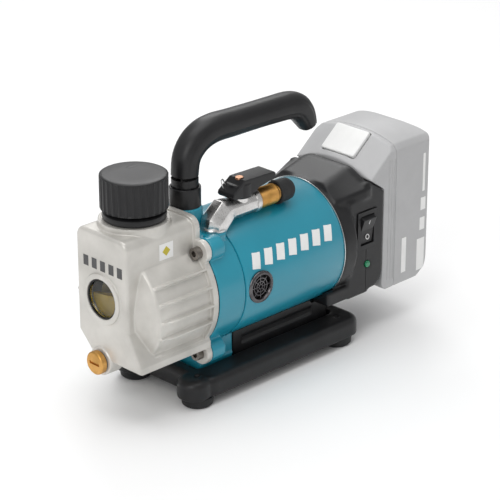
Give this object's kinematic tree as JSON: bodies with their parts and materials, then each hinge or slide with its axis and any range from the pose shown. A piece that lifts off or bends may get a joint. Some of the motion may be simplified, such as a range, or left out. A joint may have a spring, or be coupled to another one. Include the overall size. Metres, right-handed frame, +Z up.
{
  "type": "hvac vacuum pump",
  "caption": "Cordless rotary vane vacuum pump for refrigeration service: oil tank with sight glass, motor tube, carrying handle, intake valve, rear housing and slide-on battery.",
  "frame": {"origin": "middle of the bounding box, on the plane that the feet stand on", "axes": "+X from the oil tank towards the battery, +Y away from the side with the switch, +Z up"},
  "size_m": [0.2984, 0.0936, 0.193],
  "materials": {
    "cast_silver": "satin sand-cast and painted silver",
    "teal_paint": "satin blue-green powder coat",
    "black_plastic": "fine textured moulded nylon",
    "handle_black": "satin moulded grip",
    "black_rubber": "matt black rubber",
    "brass": "turned, lightly satin",
    "copper": "machined screw",
    "nickel": "nickel-plated forging",
    "steel": "zinc plated steel",
    "dark_chrome": "dark bright trim",
    "sight_glass": "clear polished glass",
    "green_lens": "clear green lens",
    "pack_grey": "pale grey moulded plastic",
    "pack_white": "white moulded plastic",
    "cell_wrap": "shrink sleeve",
    "board_green": "solder mask on glass epoxy",
    "copper_wire": "enamelled winding",
    "lamination": "stacked electrical steel",
    "machined_iron": "ground cast iron",
    "filter_felt": "pressed fibre",
    "vane_composite": "reinforced composite"
  },
  "bodies": {
    "pump": {"base": "black_plastic", "feet": "black_rubber", "foot_screws": "steel", "pedestal": "black_plastic", "pedestal_screws": "steel", "front_bracket": "teal_paint", "bracket_screws": "steel", "tank": "cast_silver", "tank_gasket": "black_rubber", "tank_screws": "steel", "sight_glass": "sight_glass", "sight_glass_seal": "black_rubber", "filler_neck": "black_plastic", "exhaust_filter": "filter_felt", "handle": "handle_black", "handle_collar": "black_plastic", "handle_bolt": "steel", "motor_housing": "teal_paint", "vent_grilles": "dark_chrome", "pump_rear_plate": "machined_iron", "pump_ring": "machined_iron", "pump_front_plate": "machined_iron", "pump_bolts": "steel", "exhaust_reed": "steel", "reed_stop": "steel", "shaft_seal": "black_rubber", "bearings": "steel", "motor_stator": "lamination", "motor_coils": "copper_wire", "motor_end_plate": "cast_silver", "valve_body": "nickel", "flare_fitting": "brass", "rear_housing": "black_plastic", "switch_frame": "black_plastic", "indicator_lens": "green_lens", "control_board": "board_green", "terminal_block": "black_plastic", "terminal_blades": "brass", "housing_screws": "steel"},
    "oil_cap_lift": {"oil_cap_seal": "black_rubber"},
    "oil_cap": {"oil_cap": "black_plastic"},
    "drain_lift": {"drain_seal": "black_rubber"},
    "drain_plug": {"drain_plug": "brass"},
    "valve_lever": {"valve_lever": "black_plastic", "lever_screw": "copper", "valve_stem": "steel", "valve_ball": "dark_chrome"},
    "port_cap": {"port_cap": "black_rubber"},
    "switch_rocker": {"switch_rocker": "black_plastic"},
    "battery": {"battery_top": "pack_grey", "battery_case": "pack_grey", "battery_cells": "cell_wrap"},
    "battery_button": {"battery_button": "pack_white"},
    "spindle": {"drive_shaft": "steel", "pump_rotor": "machined_iron", "pump_vanes": "vane_composite", "motor_rotor": "lamination", "cooling_fan": "black_plastic"}
  },
  "joints": [
    {"name": "oil_cap_rise", "type": "slide", "parent": "pump", "child": "oil_cap_lift", "axis": [0, 0, 1], "range_m": [0, 0.0062]},
    {"name": "oil_cap_turn", "type": "hinge", "parent": "oil_cap_lift", "child": "oil_cap", "pos_m": [-0.1112, 0, 0.15], "axis": [0, 0, 1], "range_deg": [0, 720]},
    {"name": "drain_rise", "type": "slide", "parent": "pump", "child": "drain_lift", "axis": [-1, 0, 0], "range_m": [0, 0.0062]},
    {"name": "drain_turn", "type": "hinge", "parent": "drain_lift", "child": "drain_plug", "pos_m": [-0.145, 0.003, 0.04], "axis": [-1, 0, 0], "range_deg": [0, 1440]},
    {"name": "valve_turn", "type": "hinge", "parent": "pump", "child": "valve_lever", "pos_m": [-0.03, -0.018, 0.14], "axis": [0, 0, 1], "range_deg": [-90, 0]},
    {"name": "port_cap_pull", "type": "slide", "parent": "pump", "child": "port_cap", "axis": [1, 0, 0], "range_m": [0, 0.022]},
    {"name": "switch_tilt", "type": "hinge", "parent": "pump", "child": "switch_rocker", "pos_m": [0.0801, -0.0359, 0.085], "axis": [-1, 0, 0], "range_deg": [0, 20]},
    {"name": "battery_slide", "type": "slide", "parent": "pump", "child": "battery", "axis": [0, 0, 1], "range_m": [0, 0.1]},
    {"name": "button_press", "type": "slide", "parent": "battery", "child": "battery_button", "axis": [0.6307, 0, -0.776], "range_m": [0, 0.003], "stiffness_N_per_m": 300, "springref_m": -0.001},
    {"name": "spindle_turn", "type": "hinge", "parent": "pump", "child": "spindle", "pos_m": [0, 0, 0.0769], "axis": [1, 0, 0], "continuous": true}
  ],
  "couplings": [
    {"joint": "oil_cap_rise", "follows": "oil_cap_turn", "m_per_rad": 0.00047746},
    {"joint": "drain_rise", "follows": "drain_turn", "m_per_rad": 0.00023873}
  ]
}
